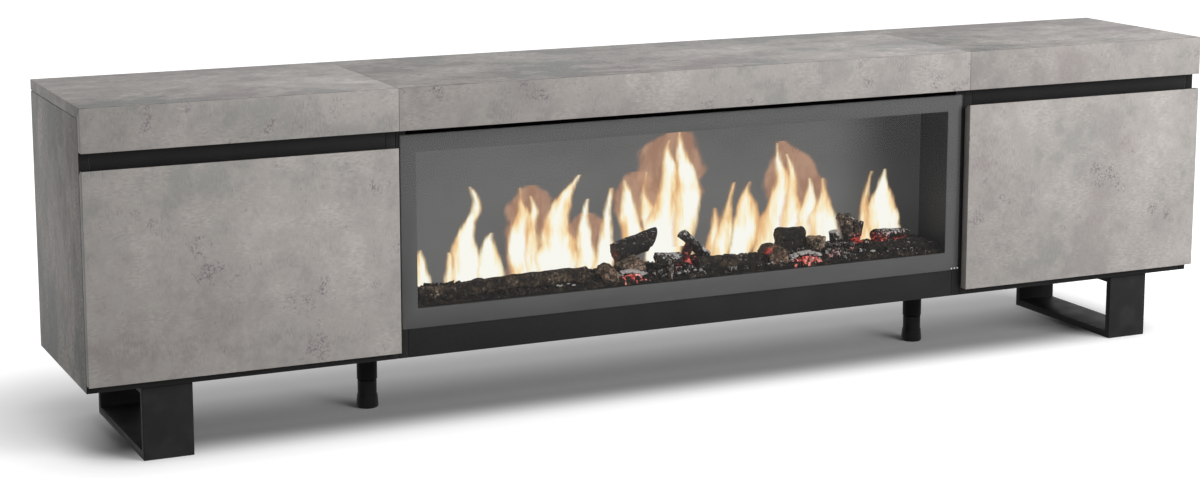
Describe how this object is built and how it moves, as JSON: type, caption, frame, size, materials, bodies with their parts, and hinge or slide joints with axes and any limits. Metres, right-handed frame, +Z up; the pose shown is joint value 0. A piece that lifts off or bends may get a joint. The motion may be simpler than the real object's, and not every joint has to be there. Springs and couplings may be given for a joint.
{
  "type": "fireplace tv stand",
  "caption": "Low wide television stand in concrete-look board with hinged side cabinets, a glazed electric log fire in the middle, black sled legs and round levelling legs.",
  "frame": {"origin": "on the floor, in the middle of the footprint", "axes": "+X along the width to the viewer's right, -Y out of the front, +Z up"},
  "size_m": [2, 0.335, 0.54],
  "materials": {
    "concrete_laminate": "grey concrete-look laminate on chipboard, matt",
    "black_laminate": "black laminate on chipboard, matt",
    "back_fibreboard": "thin grey fibreboard",
    "black_steel": "black powder coat",
    "hinge_steel": "nickel-plated pressed steel",
    "case_steel": "matt black sheet steel",
    "frame_enamel": "dark grey satin paint",
    "clear_glass": "clear toughened glass",
    "screen_plastic": "smoked acrylic sheet",
    "log_resin": "charred log, cast resin",
    "ember_resin": "charred coals and ash, cast resin",
    "polished_metal": "polished thin sheet",
    "black_plastic": "moulded black plastic",
    "lamp_plastic": "frosted warm lamp cover"
  },
  "bodies": {
    "carcass": {"left_top_board": "concrete_laminate", "left_fascia": "concrete_laminate", "left_outer_side_panel": "concrete_laminate", "left_inner_side_panel": "black_laminate", "left_bottom_board": "black_laminate", "left_back_panel": "back_fibreboard", "left_grip_rail": "black_laminate", "left_shelf": "black_laminate", "left_upper_hinge_arm": "hinge_steel", "left_lower_hinge_arm": "hinge_steel", "left_sled_leg": "black_steel", "left_round_leg": "black_steel", "right_top_board": "concrete_laminate", "right_fascia": "concrete_laminate", "right_outer_side_panel": "concrete_laminate", "right_inner_side_panel": "black_laminate", "right_bottom_board": "black_laminate", "right_back_panel": "back_fibreboard", "right_grip_rail": "black_laminate", "right_shelf": "black_laminate", "right_upper_hinge_arm": "hinge_steel", "right_lower_hinge_arm": "hinge_steel", "right_sled_leg": "black_steel", "right_round_leg": "black_steel", "fire_top_board": "concrete_laminate", "fire_fascia": "concrete_laminate", "fire_left_side_panel": "black_laminate", "fire_right_side_panel": "black_laminate", "fire_front_rail": "black_laminate", "fire_bottom_board": "black_laminate", "fire_rear_batten": "black_laminate", "fire_back_panel": "back_fibreboard", "insert_back_plate": "case_steel", "insert_floor_plate": "case_steel", "insert_top_plate": "case_steel", "insert_left_end_plate": "case_steel", "insert_right_end_plate": "case_steel", "insert_frame": "frame_enamel", "front_glass": "clear_glass", "ember_tray": "case_steel", "flame_screen": "screen_plastic", "fire_log_1": "log_resin", "fire_log_2": "log_resin", "fire_log_3": "log_resin", "fire_log_4": "log_resin", "fire_log_5": "log_resin", "ember_bed": "ember_resin", "drum_motor": "black_plastic", "lamp_bar": "lamp_plastic", "control_box": "black_plastic", "power_inlet": "black_plastic"},
    "left_door": {"left_door": "concrete_laminate", "left_upper_hinge_cup": "hinge_steel", "left_lower_hinge_cup": "hinge_steel"},
    "right_door": {"right_door": "concrete_laminate", "right_upper_hinge_cup": "hinge_steel", "right_lower_hinge_cup": "hinge_steel"},
    "flame_drum": {"flame_drum": "polished_metal"},
    "left_foot": {"left_levelling_foot": "black_plastic"},
    "right_foot": {"right_levelling_foot": "black_plastic"}
  },
  "joints": [
    {"name": "left_door_hinge", "type": "hinge", "parent": "carcass", "child": "left_door", "pos_m": [-1, -0.1675, 0.2875], "axis": [0, 0, -1], "range_deg": [0, 100]},
    {"name": "right_door_hinge", "type": "hinge", "parent": "carcass", "child": "right_door", "pos_m": [1, -0.1675, 0.2875], "axis": [0, 0, 1], "range_deg": [0, 100]},
    {"name": "flame_drum_spin", "type": "hinge", "parent": "carcass", "child": "flame_drum", "pos_m": [0, -0.0122, 0.2033], "axis": [1, 0, 0], "continuous": true},
    {"name": "left_foot_turn", "type": "hinge", "parent": "carcass", "child": "left_foot", "pos_m": [-0.515, 0, 0.02], "axis": [0, 0, 1], "continuous": true},
    {"name": "right_foot_turn", "type": "hinge", "parent": "carcass", "child": "right_foot", "pos_m": [0.515, 0, 0.02], "axis": [0, 0, 1], "continuous": true}
  ]
}
